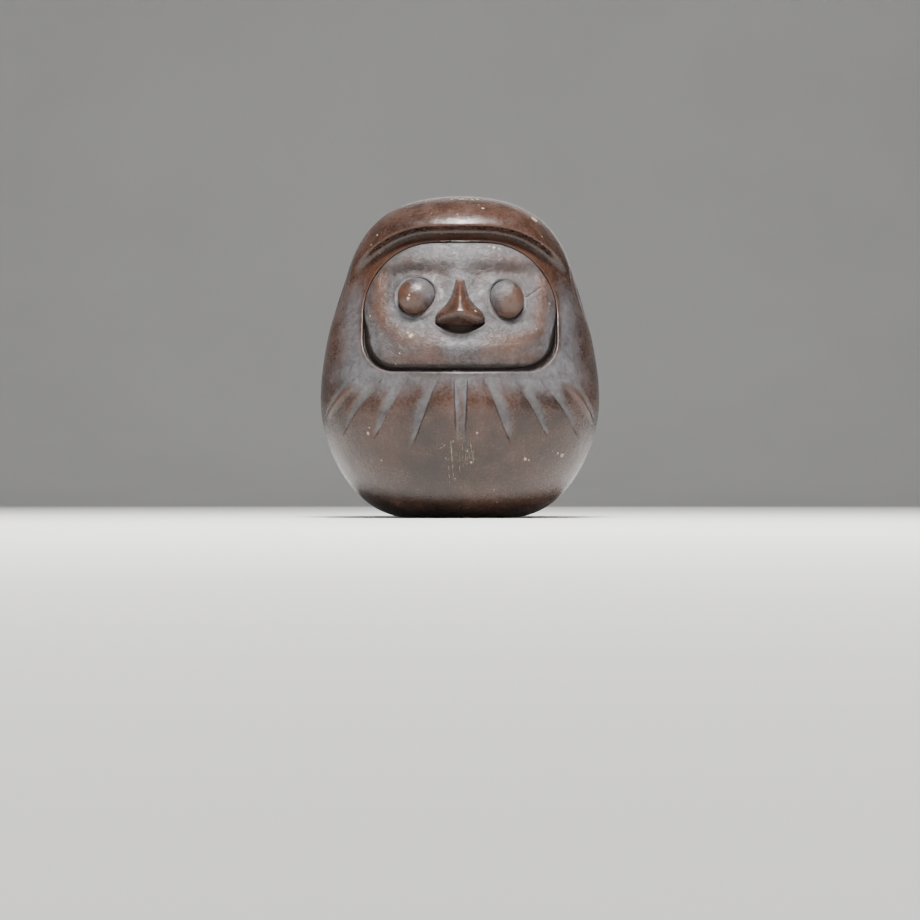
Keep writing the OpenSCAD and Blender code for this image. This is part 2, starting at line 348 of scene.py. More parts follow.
def pleat_depth(angle, z):
    """Depth of the grooves below the collar: each drops steeply and rises slowly outwards."""
    depth = np.zeros_like(angle)
    for deep, out, width, fade in grooves(angle, z):
        here = smoothstep(-0.5, 0.6, out) * (1 - smoothstep(0.6, width, out))
        depth = np.maximum(depth, deep * here * fade)
        # the cloth between two grooves swells
        depth = depth - np.exp(-((out + 4.2) / 3.4) ** 2) * fade
    x, t = middle_strip(angle, z, 1.2)
    half = mix(3.9, 2.0, np.minimum(t, 1))
    fade = smoothstep(0.0, 0.2, t) * (1 - smoothstep(0.6, 1.02, t))
    strip = 1 - smoothstep(half - 0.9, half + 0.5, np.abs(x))
    ridge = np.exp(-((x / 1.5) ** 2)) * 0.8
    return depth + (strip * 1.5 - ridge) * fade + collar_dip(angle, z)


def pleat_painted_shade(angle, z):
    """Painted shade: dark lines at the foot of each groove's steep side and at both sides of the middle
    strip, where their shadow falls.
    """
    lines = [np.exp(-(((out - 0.4) / 0.75) ** 2)) * np.sqrt(fade) for _, out, _, fade in grooves(angle, z)]
    x, t = middle_strip(angle, z, 1)
    lines.append(np.exp(-(((np.abs(x) - mix(3.5, 1.7, t)) / 0.7) ** 2)) * smoothstep(1.0, 0.7, t))
    return np.maximum.reduce(lines)


PLEAT_MAP = Map((-96.0, PLEATS_LOW), (96.0, PLEATS_HIGH), 0.25, pleat_depth)


def outer_body(x, y, z):
    """The doll's outside, with no opening: lip, hollow and pleats, and the unevenness of hand work."""
    r = np.hypot(x, y)
    body = BODY(r, z)
    foot = smoothstep(2.0, 12.0, z)
    d = body + foot * (0.30 * noise(x, y, z, 26.0) + 0.06 * noise(x, y, z, 7.0, 3))
    front = y < 0
    if front.any():
        s, turn = OPENING(x, z), around(x, z)
        # the lip ends before the joint between the halves
        lip = roll(body, s, turn) + 12.0 * smoothstep(-20.0, -3.0, y)
        d = np.where(front, smooth_min(d, lip, 8.0), d)
        fillet = mix(2.0, 6.0, smoothstep(46.0, 76.0, turn))
        d = np.where(front & (s > -8), smooth_max(d, -cove(body, s, turn), fillet), d)
        angle = np.degrees(np.arctan2(x, -y))
        d = d + np.where(front & (z < PLEATS_HIGH) & (z > PLEATS_LOW), PLEAT_MAP(angle, z), 0.0)
    return d


def hollow(x, y, z):
    """The inside of the wall, above the shelf in the foot."""
    r = np.hypot(x, y)
    shelf = np.maximum(r - SHELF_R, z - SHELF_TOP)
    return np.maximum(BODY(r, z) + WALL, -shelf)


disc_low, disc_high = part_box("base_disc")
DISC_R = (disc_high.x - disc_low.x) / 2 / MM + 0.05
DISC_TOP = disc_high.z / MM
SHELF_HOLE_R = 17.0


def base_hole(x, y, z):
    """The recess for the disc and the hole that the clay plugs."""
    r = np.hypot(x, y)
    return np.minimum(np.maximum(r - DISC_R, z - DISC_TOP), np.maximum(r - SHELF_HOLE_R, z - 30))


def shell(x, y, z):
    """The hollow body with its opening, before it is cut into halves."""
    d = outer_body(x, y, z)
    d = smooth_max(d, -np.where(y < 0, OPENING(x, z), 50.0), 1.5)
    d = smooth_max(d, -hollow(x, y, z), 0.6)
    return smooth_max(d, -base_hole(x, y, z), 0.4)


# ---------------------------------------------------------------- the face

def set_back(z):
    """How far the face lies behind the body's surface."""
    up = np.clip((z - OPENING_BOTTOM) / (OPENING_TOP - OPENING_BOTTOM), 0, 1)
    return mix(CHIN_SET_BACK, BROW_SET_BACK, up)


def face_radius(z):
    """Radius of the plain face, a little less than the body's."""
    return body_radius(z) - set_back(z) * 1.03


def on_face(x, z, lift=0.0):
    """A point of the face and the direction out of it."""
    slope = (face_radius(z + 1) - face_radius(z - 1)) / 2
    r = face_radius(z)
    out = np.array([x / r, -math.sqrt(r * r - x * x) / r, -slope])
    out /= np.linalg.norm(out)
    return np.array([x, -math.sqrt(r * r - x * x), z]) + lift * out, out


def bump(x, z, cx, cz, wx, wz):
    """A soft mound, 1 high at cx, cz."""
    return np.exp(-(((x - cx) / wx) ** 2) - ((z - cz) / wz) ** 2)


# The raised ring round the lower face, from temple to temple, and a line cut beside the right eye
CHEEK_LINE = [
    (-40, 114), (-40, 103), (-37, 94), (-29, 88), (-15, 83.5), (0, 82),
    (15, 83), (27, 85), (38, 91), (41, 103), (41, 114),
]
CUT_LINE = [(32.2, 106.8), (39.4, 112.4)]
MOUTH_HALF_W = 11.7
MOUTH_Z = 89.2
MOUTH_TOP = 94.4
MOUTH_DEPTH = 4.2
SMILE = 4.1  # how far the corners of the mouth are above its middle


def face_relief(x, z):
    """Height of the face over its plain pillow."""
    a = np.abs(x)
    h = 1.3 * bump(x, z, 0, 126, 15, 7)  # forehead
    h += 0.8 * bump(a, z, 27, 124.5, 13, 4)  # brows
    h -= 2.1 * bump(a, z, 23, 119.5, 14, 3.8)  # hollows above the eyes
    h -= 0.8 * bump(a, z, 36, 115.0, 6, 4)
    h -= 1.7 * bump(a, z, 8.5, 113, 4.5, 9)  # beside the bridge of the nose
    h -= 1.1 * bump(a, z, 22, 95.5, 12, 4)  # below the eyes
    h -= 0.7 * bump(x, z, 0, 86.6, 13, 2.6)  # below the mouth
    away, _ = nearest_on_line(x, z, CHEEK_LINE)
    h += 1.3 * np.exp(-((away / 5.0) ** 2))
    away, _ = nearest_on_line(x, z, CUT_LINE)
    h -= 0.5 * np.exp(-((away / 0.45) ** 2))
    lip_z = MOUTH_Z - 1.0 + (x / MOUTH_HALF_W) ** 2 * SMILE
    h += 0.5 * np.exp(-(((z - lip_z) / 0.9) ** 2)) * (1 - smoothstep(10, 14, a))
    for ex, ez, wide, high in EYES.values():
        # the face folds up round each eye
        ring = np.hypot((x - ex * 0.975) / wide, (z - ez + 0.4) / high) - EYE_R
        h += 0.35 * np.exp(-(((ring - 1.3) / 0.7) ** 2)) - 0.3 * np.exp(-(((ring - 0.2) / 0.7) ** 2))
    return h


def edge_share(x, z):
    """How far down the face a point is, and how close to its lower right corner."""
    return 1 - smoothstep(78, 108, z), smoothstep(20, 40, x) * (1 - smoothstep(74, 90, z))


def face_height(x, z):
    """Height of the face over the body's surface, with the rounding towards the pillow's edge."""
    s = OPENING(x, z)
    low, corner = edge_share(x, z)
    width = mix(2.4, 13.0, low)
    drop = mix(0.5, 5.0, low) + 0.8 * corner
    t = np.clip((s + width) / width, 0.0, 1.0)
    return face_relief(x, z) - set_back(z) - drop * (1 - np.sqrt(1 - t * t))


FACE_HEIGHT = Map((-60.0, 60.0), (60.0, 145.0), 0.25, face_height)


def mouth(x, z, height):
    """The smiling hollow under the nose."""
    low = MOUTH_Z + (x / MOUTH_HALF_W) ** 2 * SMILE
    upright = np.maximum(low - z, z - MOUTH_TOP)
    return np.maximum(upright, np.maximum(np.abs(x) - MOUTH_HALF_W, -height - MOUTH_DEPTH))


def eye_field(name, x, y, z):
    """Distance to an eye's ball, which is a little wider or taller than round."""
    ex, ez, wide, high = EYES[name]
    centre, out = on_face(ex, ez, EYE_LIFT)
    dx, dy, dz = x - centre[0], y - centre[1], z - centre[2]
    d = np.sqrt((dx / wide) ** 2 + dy**2 + (dz / high) ** 2) - EYE_R
    return d, dx * out[0] + dy * out[1] + dz * out[2]


def face(x, y, z):
    """The face: a pillow with its relief in the opening, and a flange behind the wall."""
    r = np.hypot(x, y)
    body = BODY(r, z)
    s = OPENING(x, z)
    above = body - FACE_HEIGHT(x, z)
    rough = 0.11 * noise(x, y, z, 7.0, 5) + 0.06 * noise(x, y, z, 2.2, 6)
    low, corner = edge_share(x, z)
    gap = mix(0.15, 1.4, low) + 1.5 * corner
    front = smooth_max(above * 0.9 + rough, s + gap, 0.9)
    # the flange is glued behind the wall, and sinks where the gap shows it
    rim = np.maximum(body + WALL + GLUE + 1.9 * smoothstep(0.3, -0.5, s), s - FACE_LAP)
    d = np.minimum(front, rim)
    for name in EYES:
        ball, _ = eye_field(name, x, y, z)
        d = smooth_max(d, EYE_GAP - ball, 0.5)
    d = smooth_max(d, -mouth(x, z, above), 1.0)
    return np.maximum(d, -(body + WALL + GLUE + FACE_T))


# ---------------------------------------------------------------- eyes and nose

def eye(name):
    """An eye's field, with the corners of the box that holds it."""
    ex, ez, wide, high = EYES[name]
    centre, out = on_face(ex, ez, EYE_LIFT)

    def field(x, y, z):
        d, height = eye_field(name, x, y, z)
        return smooth_max(d + 0.06 * (noise(x, y, z, 5.5, 20 + ex) + 1), -height - 2.0, 0.8)

    reach = EYE_R + 1.5
    return field, centre - reach, centre + reach


# Height above the ground, half width and rise of the nose, from the mouth up to the bridge
NOSE = np.array([
    (93.0, 10.2, 0.0), (94.0, 11.4, 3.2), (95.4, 12.2, 5.8), (97.0, 12.0, 8.2), (98.6, 11.2, 9.5),
    (100.3, 9.7, 8.8), (102.3, 7.6, 7.8), (105.9, 4.8, 5.9), (110.0, 3.5, 3.7), (113.5, 3.0, 1.3),
    (116.0, 2.8, -0.6),
])


def nose_height(x, z):
    """How far the nose rises from the face."""
    half = np.interp(z, NOSE[:, 0], NOSE[:, 1])
    rise = np.interp(z, NOSE[:, 0], NOSE[:, 2])
    across = np.clip(np.abs(x) / half, 0, 1)
    # a ridge above and blunt wings below
    blunt = 1 - smoothstep(94.5, 101.0, z)
    return rise * (1 - across ** mix(1.7, 2.4, blunt)) ** mix(0.85, 0.5, blunt)


def blurred(grid, times):
    """The grid with its sharp changes softened."""
    for _ in range(times):
        for axis in range(2):
            grid = (np.roll(grid, 1, axis) + 2 * grid + np.roll(grid, -1, axis)) / 4
    return grid


NOSE_HEIGHT = Map((-20.0, 84.0), (20.0, 124.0), 0.25, nose_height)
NOSE_HEIGHT.grid = blurred(NOSE_HEIGHT.grid, 8)


def nose(x, y, z):
    """A wedge with a narrow bridge, a ridge to the front and round wings."""
    body = BODY(np.hypot(x, y), z)
    above = body - FACE_HEIGHT(x, z)
    d = (above - NOSE_HEIGHT(x, z)) * 0.6 + 0.05 * noise(x, y, z, 3.0, 9)
    half = np.interp(z, NOSE[:, 0], NOSE[:, 1])
    d = smooth_max(d, (np.abs(x) - half - 0.2) * 0.8, 1.6)
    d = smooth_max(d, np.abs(z - 104.9) - 11.9, 1.0)
    return np.maximum(d, -(above + 1.0))


def whole(x, y, z):
    """Distance to the doll with all its outer pieces in place."""
    d = shell(x, y, z)
    near = (y < -20) & (z > OPENING_BOTTOM - 12)
    if near.any():
        p = (x[near], y[near], z[near])
        fields = [face(*p), nose(*p)] + [eye_field(name, *p)[0] for name in EYES]
        d[near] = np.minimum(d[near], np.minimum.reduce(fields))
    return d


# ---------------------------------------------------------------- dust, wear and painted shade, at the corners of each mesh

def shelter(p, n, reach):
    """0 on open surfaces and up to 1 in corners and grooves."""
    return np.clip(1 - whole(*(p + n * reach).T) / reach, 0, 1)


def edge_wear(p, n, reach):
    """0 on even surfaces and up to 1 on sharp edges and knobs."""
    return np.clip(1 + whole(*(p - n * reach).T) / reach, 0, 1)


def shell_marks(p, n):
    """Dust lies on the collar, in the pleats and beside the face. The belly and the crown are rubbed. Dark
    lines along the pleats are painted shade.
    """
    x, y, z = p.T
    front = smoothstep(12, -12, y)
    s, turn = OPENING(x, z), around(x, z)
    angle = np.degrees(np.arctan2(x, -y))
    pleats = PLEAT_MAP(angle, z) - collar_dip(angle, z)
    groove = np.clip(pleats / 1.6, 0, 1) * ((z < 72) & (z > PLEATS_LOW))
    groove = groove * (0.92 + 0.35 * noise(x, y, z, 4.2, 5))
    lobes = np.clip(-pleats / 0.8, 0, 1) * ((z < 66) & (z > 30))
    collar = np.exp(-(((z - 69) / 8.5) ** 2)) * smoothstep(84, 40, np.abs(angle))
    collar = collar * (1.0 + 0.25 * noise(x, y, z, 6.5, 6)) * (1 - 0.6 * lobes)
    cheek = smoothstep(24, 2, s) * smoothstep(62, 92, turn) * smoothstep(160, 120, turn)
    lip = smoothstep(1.5, 6.0, s) * smoothstep(16, 9, s) * smoothstep(64, 40, turn) * 0.25
    under_lip = smoothstep(10.0, 6.0, s) * smoothstep(74, 60, turn) * front
    dust = 0.85 * groove + 0.7 * collar + 0.8 * cheek + lip
    dust = dust * front * (1 - 0.75 * under_lip)
    # behind, dust settles where the shoulders and the crown look up
    dust += 0.30 * smoothstep(0.35, 0.95, n[:, 2]) * (1 - 0.6 * front)
    belly = np.exp(-(((z - 60) / 14) ** 2)) * 0.35
    wear = lobes * 0.7 * front + belly + 0.5 * np.exp(-(((z - 150) / 9) ** 2))
    # the third value is painted shade along the pleats
    return dust, wear, pleat_painted_shade(angle, z) * front


def face_marks(p, n):
    """The raised parts of the face are rubbed brown, and dust lies in its hollows. The hollows above the eyes
    and beside the bridge of the nose get painted shade.
    """
    x, y, z = p.T
    a = np.abs(x)
    away, _ = nearest_on_line(x, z, CHEEK_LINE)
    ring = np.exp(-((away / 5.5) ** 2)) * smoothstep(4, 16, a)
    brow = bump(a, z, 27, 125.5, 13, 3.6)
    low = smoothstep(84, 76, z) * 0.55
    rubbed = np.clip(0.85 * ring + 0.6 * brow + low + 0.25 * noise(x, y, z, 9.0, 4), 0, 1)
    # painted shade in the hollows above the eyes and beside the bridge of the nose, which also keeps dust off
    # them
    dark = bump(a, z, 23, 120.0, 15, 3.4) * 0.5 + bump(a, z, 9, 114, 4.5, 7) * 0.3
    return np.clip(0.85 - 0.7 * rubbed - dark, 0, 1), rubbed, dark


def eye_marks(name):
    """Dust lies on each eye's upper side and towards the nose, and the same grey is partly a painted
    highlight on the side that faces the light. The rest is rubbed.
    """
    ex, ez = EYES[name][:2]
    centre, _ = on_face(ex, ez, EYE_LIFT)

    def marks(p, n):
        dx, dz = (p[:, 0] - centre[0]) / EYE_R, (p[:, 2] - centre[2]) / EYE_R
        inward = -np.sign(ex) * dx
        # the grey patch is partly dust and partly a painted highlight on the side that faces the light
        dust = smoothstep(-0.45, 0.75, inward * 0.7 + dz * 0.6)
        return dust * 0.85, 1 - dust, np.zeros(len(p))

    return marks


def nose_marks(p, n):
    """The nose is worn all over, with dust beside the bridge and painted shade under the wings."""
    x, y, z = p.T
    dust = smoothstep(104, 114, z) * smoothstep(0.5, 2.6, np.abs(x)) * 0.5
    # painted shade under the wings, on the side that faces down
    return dust, np.full(len(p), 0.4), smoothstep(96.5, 93.5, z) * 0.5


# ---------------------------------------------------------------- meshing

def sample(field, low, high, step, block=8):
    """The field on a voxel grid, worked out only in blocks that the surface may cross."""
    low = np.asarray(low, float)
    counts = [int(math.ceil((high[i] - low[i]) / (step * block))) for i in range(3)]
    centres = [low[i] + ((np.arange(counts[i]) + 0.5) * block - 0.5) * step for i in range(3)]
    grid = np.meshgrid(*centres, indexing="ij")
    rough = field(*[g.ravel() for g in grid]).reshape(counts)
    reach = block * step * 0.95
    values = np.where(rough > 0, reach, -reach).astype(np.float32)
    for axis in range(3):
        values = np.repeat(values, block, axis)
    near = np.argwhere(np.abs(rough) < reach * 1.35 + 0.6)
    local = np.stack(np.meshgrid(*[np.arange(block)] * 3, indexing="ij"), -1).reshape(-1, 3)
    for part in np.array_split(near, max(1, len(near) // 1200)):
        index = (part[:, None, :] * block + local[None]).reshape(-1, 3)
        p = low + index * step
        values[tuple(index.T)] = field(p[:, 0], p[:, 1], p[:, 2])
    return values


def gradient(field, p, step=0.12):
    """The direction in which the field grows, at each point."""
    g = np.empty_like(p)
    for axis in range(3):
        ahead, behind = p.copy(), p.copy()
        ahead[:, axis] += step
        behind[:, axis] -= step
        g[:, axis] = (field(*ahead.T) - field(*behind.T)) / (2 * step)
    return g


def surface(field, low, high, step):
    """Quads on the field's zero surface, with their corners drawn onto it."""
    grid = openvdb.FloatGrid()
    grid.copyFromArray(sample(field, low, high, step))
    points, quads = grid.convertToQuads(0.0)
    p = np.asarray(low) + points.astype(float) * step
    for _ in range(3):
        f = field(*p.T)
        g = gradient(field, p)
        size = np.maximum((g * g).sum(1), 0.2)
        move = g * (f / size)[:, None]
        length = np.linalg.norm(move, axis=1, keepdims=True)
        p -= move * np.minimum(1.0, 0.6 * step / np.maximum(length, 1e-9))
    return p, quads


def make_mesh(name, p, quads, field):
    """A mesh object in metres, its faces turned outwards."""
    a, b, c = p[quads[:, 0]], p[quads[:, 1]], p[quads[:, 2]]
    normal = np.cross(b - a, c - a)
    middle = p[quads].mean(1)
    outward = (normal * gradient(field, middle)).sum(1)
    if np.median(outward) < 0:
        quads = quads[:, ::-1]
    mesh = bpy.data.meshes.new(name)
    mesh.from_pydata((p * MM).tolist(), [], quads.tolist())
    mesh.update()
    obj = bpy.data.objects.new(name, mesh)
    bpy.context.scene.collection.objects.link(obj)
    return obj


def cut_at_joint(obj, side):
    """Cuts the mesh at the plane Y = 0, keeps one side and closes the cut with flat faces."""
    bm = bmesh.new()
    bm.from_mesh(obj.data)
    cut = bmesh.ops.bisect_plane(
        bm, geom=bm.verts[:] + bm.edges[:] + bm.faces[:], plane_co=(0, 0, 0),
        plane_no=(0, -side, 0), clear_outer=True, dist=1e-7,
    )
    edges = [e for e in cut["geom_cut"] if isinstance(e, bmesh.types.BMEdge) and e.is_boundary]
    bmesh.ops.triangle_fill(bm, edges=edges, use_beauty=True, normal=(0, -side, 0))
    bm.to_mesh(obj.data)
    bm.free()
    obj.data.update()


def shade(obj, field, step):
    """Normals from the field itself, so that the shading is as smooth as the true surface."""
    mesh = obj.data
    count = len(mesh.vertices)
    co = np.empty(count * 3)
    mesh.vertices.foreach_get("co", co)
    p = co.reshape(-1, 3) / MM
    g = gradient(field, p, step)
    g /= np.maximum(np.linalg.norm(g, axis=1, keepdims=True), 1e-6)
    corners = np.empty(len(mesh.loops), np.int32)
    mesh.loops.foreach_get("vertex_index", corners)
    normals = g[corners]
    # the flat faces of a cut keep their own direction
    flat_faces = [f for f in mesh.polygons if abs(f.normal.y) > 0.999 and abs(f.center.y) < 1e-6]
    for f in flat_faces:
        normals[f.loop_start : f.loop_start + f.loop_total] = f.normal
    mesh.polygons.foreach_set("use_smooth", [True] * len(mesh.polygons))
    mesh.normals_split_custom_set(normals.tolist())
    return p, g


def mark(obj, marks, p, n):
    """Keeps dust, wear and shelter with the mesh, where the materials read them."""
    dust, wear, painted_shade = marks(p, n)
    close, wide = shelter(p, n, 1.2), shelter(p, n, 4.0)
    # the depth of the gap round the face is painted black, as painted shade, and kept free of dust and wear
    x, y, z = p.T
    s = OPENING(x, z)
    behind = smoothstep(2.8, 4.2, -BODY(np.hypot(x, y), z))
    deep = (y < 0) * behind * smoothstep(-5.0, -2.0, s) * smoothstep(1.2, 0.3, s)
    values = {
        "dust": np.clip((dust + 0.4 * wide) * (1 - deep), 0, 1),
        "wear": np.clip(wear * (1 - deep), 0, 1),
        "edge": edge_wear(p, n, 1.0),
        # shelter is painted shade: darkest in corners and grooves, in the depth of the gap round the face and
        # along the dark lines that each piece's marks give
        "shelter": np.clip(0.35 * close + 0.45 * wide + 2 * deep + 0.9 * painted_shade, 0, 1.5),
    }
    for name, value in values.items():
        layer = obj.data.attributes.new(name, "FLOAT", "POINT")
        layer.data.foreach_set("value", value.astype(np.float32))


def build(name, field, marks, low, high, step, side=None):
    """One finished piece. For half a shell, side is -1 in front of the joint and 1 behind it."""
    p, quads = surface(field, low, high, step)
    obj = make_mesh(name, p, quads, field)
    if side is not None:
        cut_at_joint(obj, side)
    # the shell's coarser mesh takes its normals over a longer stretch
    p, n = shade(obj, field, 0.4 if side else 0.2)
    mark(obj, marks, p, n)
    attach(obj, "root")
    return obj


def make_pieces():
    """The new pieces, each under the name of the CAD node that it stands for."""
    half, top = BODY_W / 2 + MESH_ROOM, BODY_H + MESH_ROOM
    front = (-half, -half, -MESH_ROOM), (half, 1.6, top)
    back = (-half, -2.2, -MESH_ROOM), (half, half, top)
    face_half = OPENING_HALF_W + FACE_LAP + 2
    face_low = (-face_half, -72, OPENING_BOTTOM - FACE_LAP - 2)
    face_high = (face_half, -8, OPENING_TOP + FACE_LAP + 2)
    pieces = {
        "front_shell": build("front_shell_skin", shell, shell_marks, *front, FRONT_STEP, -1),
        "back_shell": build("back_shell_skin", shell, shell_marks, *back, BACK_STEP, 1),
        "face_panel": build("face_skin", face, face_marks, face_low, face_high, FACE_STEP),
        "nose": build("nose_wedge", nose, nose_marks, (-16, -75, 86), (16, -44, 122), SMALL_STEP),
    }
    for name in EYES:
        field, low, high = eye(name)
        pieces[name] = build(name + "_ball", field, eye_marks(name), low, high, SMALL_STEP)
    for node, piece in pieces.items():
        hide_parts(node)
    return pieces


# ---------------------------------------------------------------- materials

class Graph:
    """A material under construction: each call adds a node and returns its output."""

    def __init__(self, name):
        self.material = bpy.data.materials.new(name)
        self.material.use_nodes = True
        self.tree = self.material.node_tree
        self.shader = self.tree.nodes["Principled BSDF"]
        place = self.tree.nodes.new("ShaderNodeTexCoord").outputs["Object"]
        # coordinates in millimetres
        self.place = self.vector("SCALE", place, scale=1 / MM)

    def put(self, socket, value):
        """Sets a socket to a value, or links it to another node's output."""
        if isinstance(value, bpy.types.NodeSocket):
            self.tree.links.new(value, socket)
        else:
            socket.default_value = value

    def vector(self, operation, a, b=None, scale=None):
        node = self.tree.nodes.new("ShaderNodeVectorMath")
        node.operation = operation
        self.put(node.inputs[0], a)
        if b is not None:
            self.put(node.inputs[1], b)
        if scale is not None:
            node.inputs["Scale"].default_value = scale
        return node.outputs["Value" if operation == "DISTANCE" else "Vector"]

    def math(self, operation, a, b=0.0, c=None):
        node = self.tree.nodes.new("ShaderNodeMath")
        node.operation = operation
        self.put(node.inputs[0], a)
        self.put(node.inputs[1], b)
        if c is not None:
            self.put(node.inputs[2], c)
        return node.outputs[0]

    def separate(self, axis):
        """One coordinate in millimetres: 0 is X, 1 is Y, 2 is Z."""
        node = self.tree.nodes.new("ShaderNodeSeparateXYZ")
        self.put(node.inputs[0], self.place)
        return node.outputs[axis]

    def attribute(self, name):
        node = self.tree.nodes.new("ShaderNodeAttribute")
        node.attribute_name = name
        return node.outputs["Fac"]

    def noise(self, size, detail=3.0, rough=0.55, stretch=(1, 1, 1), distortion=0.0):
        """Noise with lumps about size millimetres across."""
        node = self.tree.nodes.new("ShaderNodeTexNoise")
        self.put(node.inputs["Vector"], self.vector("MULTIPLY", self.place, stretch))
        node.inputs["Scale"].default_value = 1 / size
        node.inputs["Detail"].default_value = detail
        node.inputs["Roughness"].default_value = rough
        node.inputs["Distortion"].default_value = distortion
        return node.outputs["Fac"]

    def cells(self, size):
        """Distance to the nearest of many scattered points, 0 at the point and about 1 between them."""
        node = self.tree.nodes.new("ShaderNodeTexVoronoi")
        self.put(node.inputs["Vector"], self.place)
        node.inputs["Scale"].default_value = 1 / size
        return node.outputs["Distance"]

    def step(self, value, low, high):
        """0 where the value is at low or under, 1 at high or over, smooth between."""
        node = self.tree.nodes.new("ShaderNodeMapRange")
        node.interpolation_type = "SMOOTHSTEP"
        self.put(node.inputs["Value"], value)
        flip = low > high
        node.inputs["From Min"].default_value, node.inputs["From Max"].default_value = sorted((low, high))
        node.inputs["To Min"].default_value, node.inputs["To Max"].default_value = (1, 0) if flip else (0, 1)
        return node.outputs["Result"]

    def mix(self, factor, a, b):
        """Between two colours."""
        node = self.tree.nodes.new("ShaderNodeMix")
        node.data_type = "RGBA"
        self.put(node.inputs["Factor"], factor)
        for socket, colour in (("A_Color", a), ("B_Color", b)):
            target = next(i for i in node.inputs if i.identifier == socket)
            self.put(target, colour if isinstance(colour, bpy.types.NodeSocket) else (*colour, 1.0))
        return next(o for o in node.outputs if o.identifier == "Result_Color")

    def sum(self, *terms):
        total = terms[0]
        for term in terms[1:]:
            total = self.math("ADD", total, term)
        return total

    def times(self, *terms):
        total = terms[0]
        for term in terms[1:]:
            total = self.math("MULTIPLY", total, term)
        return total

    def finish(self, colour, roughness, height, depth):
        """Joins colour, roughness and bump, with the height's whole range worth depth millimetres."""
        bump_node = self.tree.nodes.new("ShaderNodeBump")
        bump_node.inputs["Distance"].default_value = depth * MM
        self.put(bump_node.inputs["Height"], height)
        self.put(self.shader.inputs["Base Color"], colour)
        self.put(self.shader.inputs["Roughness"], roughness)
        self.put(self.shader.inputs["Normal"], bump_node.outputs["Normal"])
        return self.material


LACQUER_DARK = (0.017, 0.0078, 0.0046)
LACQUER_WARM = (0.044, 0.0180, 0.0098)
LACQUER_RUBBED = (0.076, 0.036, 0.023)
DUST = (0.126, 0.128, 0.139)
# colour of the painted shade in the deepest corners, creases and the gap round the face
PAINTED_SHADE_DARK = (0.012, 0.010, 0.009)
SPECK = (0.34, 0.29, 0.22)
GROUND = (0.42, 0.34, 0.24)  # the pale layer under the lacquer

# Places in the XZ plane where the lacquer has chipped off the front: the middle, the radius, and the radius
# of an island of lacquer left in the middle
CHIPS = {
    "front_shell": [
        (36.6, 147.3, 2.2, 0.6), (-40.5, 138.8, 0.5, 0), (-43.5, 134.0, 0.35, 0), (49.8, 30.6, 1.2, 0.3),
        (47.6, 31.6, 0.6, 0), (31.5, 28.6, 0.9, 0), (33.2, 28.2, 0.5, 0), (-44.5, 41.2, 0.8, 0),
        (-43.9, 43.8, 0.45, 0), (-38.0, 28.0, 0.5, 0), (5.4, 27.0, 0.7, 0.2), (8.2, 41.0, 0.5, 0),
    ],
    "face_panel": [
        (-23.6, 88.0, 1.2, 0), (-24.9, 89.3, 0.6, 0), (43.6, 104.5, 0.45, 0), (-43.6, 98.5, 0.5, 0),
        (14.0, 131.8, 0.5, 0), (16.4, 131.4, 0.8, 0), (19.0, 130.9, 0.45, 0), (-29.0, 79.5, 0.4, 0),
    ],
    "left_eye": [(-24.8, 105.6, 0.9, 0), (-24.3, 107.3, 0.5, 0)],
    "nose": [(7.4, 99.2, 0.7, 0)],
}
# Clusters of small pits: the middle, the half width, the half height and their number
PITS = [
    (2.0, 157.4, 7.5, 0.8, 16), (46.0, 32.0, 5.0, 3.0, 4), (0.0, 35.0, 5.0, 4.0, 3),
    (-47.0, 92.0, 4.0, 6.0, 3), (16.0, 151.0, 12.0, 3.0, 4),
]
scatter = np.random.default_rng(3)
for middle_x, middle_z, half_w, half_h, count in PITS:
    # on the crown the pits are seen at a slant
    large = 2.0 if middle_z > SHOULDER[1] else 1.0
    for across, up, radius in scatter.uniform((-1, -1, 0.16), (1, 1, 0.42), (count, 3)):
        CHIPS["front_shell"].append((middle_x + across * half_w, middle_z + up * half_h, radius * large, 0))
# The field of each piece that has chips
FIELDS = {"front_shell": shell, "face_panel": face, "left_eye": eye("left_eye")[0], "nose": nose}
# Scratches on the belly: where they start and end in the XZ plane and their half width
SCRATCHES = [
    ((-4.4, 37.5), (-3.0, 18.0), 0.22), ((-5.6, 29.0), (-4.9, 15.0), 0.12), ((4.7, 38.0), (6.6, 26.5), 0.2),
    ((-9.8, 33.3), (-6.6, 35.6), 0.2),
]
for across, start, length, lean in scatter.uniform((-8, 30, 5, -0.06), (8, 39, 14, 0.06), (9, 4)):
    SCRATCHES.append(((across, start), (across + lean * length, start - length), 0.09))


def in_front(field, x, z):
    """The first point of a piece that is met at x, z on the way in from the front."""
    y = np.arange(-92.0, 0.0, 0.1)
    inside = field(np.full_like(y, x), y, np.full_like(y, z)) < 0
    return x, y[np.argmax(inside)], z


def chips(g, node):
    """1 where a chip is, with a ragged edge."""
    total = 0.0
    ragged = g.math("MULTIPLY_ADD", g.noise(1.1, 3.0, 0.6), 1.6, -0.8)
    for x, z, radius, island in CHIPS.get(node, []):
        place = in_front(FIELDS[node], x, z)
        away = g.math("MULTIPLY_ADD", ragged, radius, g.vector("DISTANCE", g.place, place))
        here = g.step(away, radius * 1.05, radius * 0.8)
        if island:
            here = g.times(here, g.step(away, island * 0.7, island))
        total = g.math("MAXIMUM", total, here)
    return total


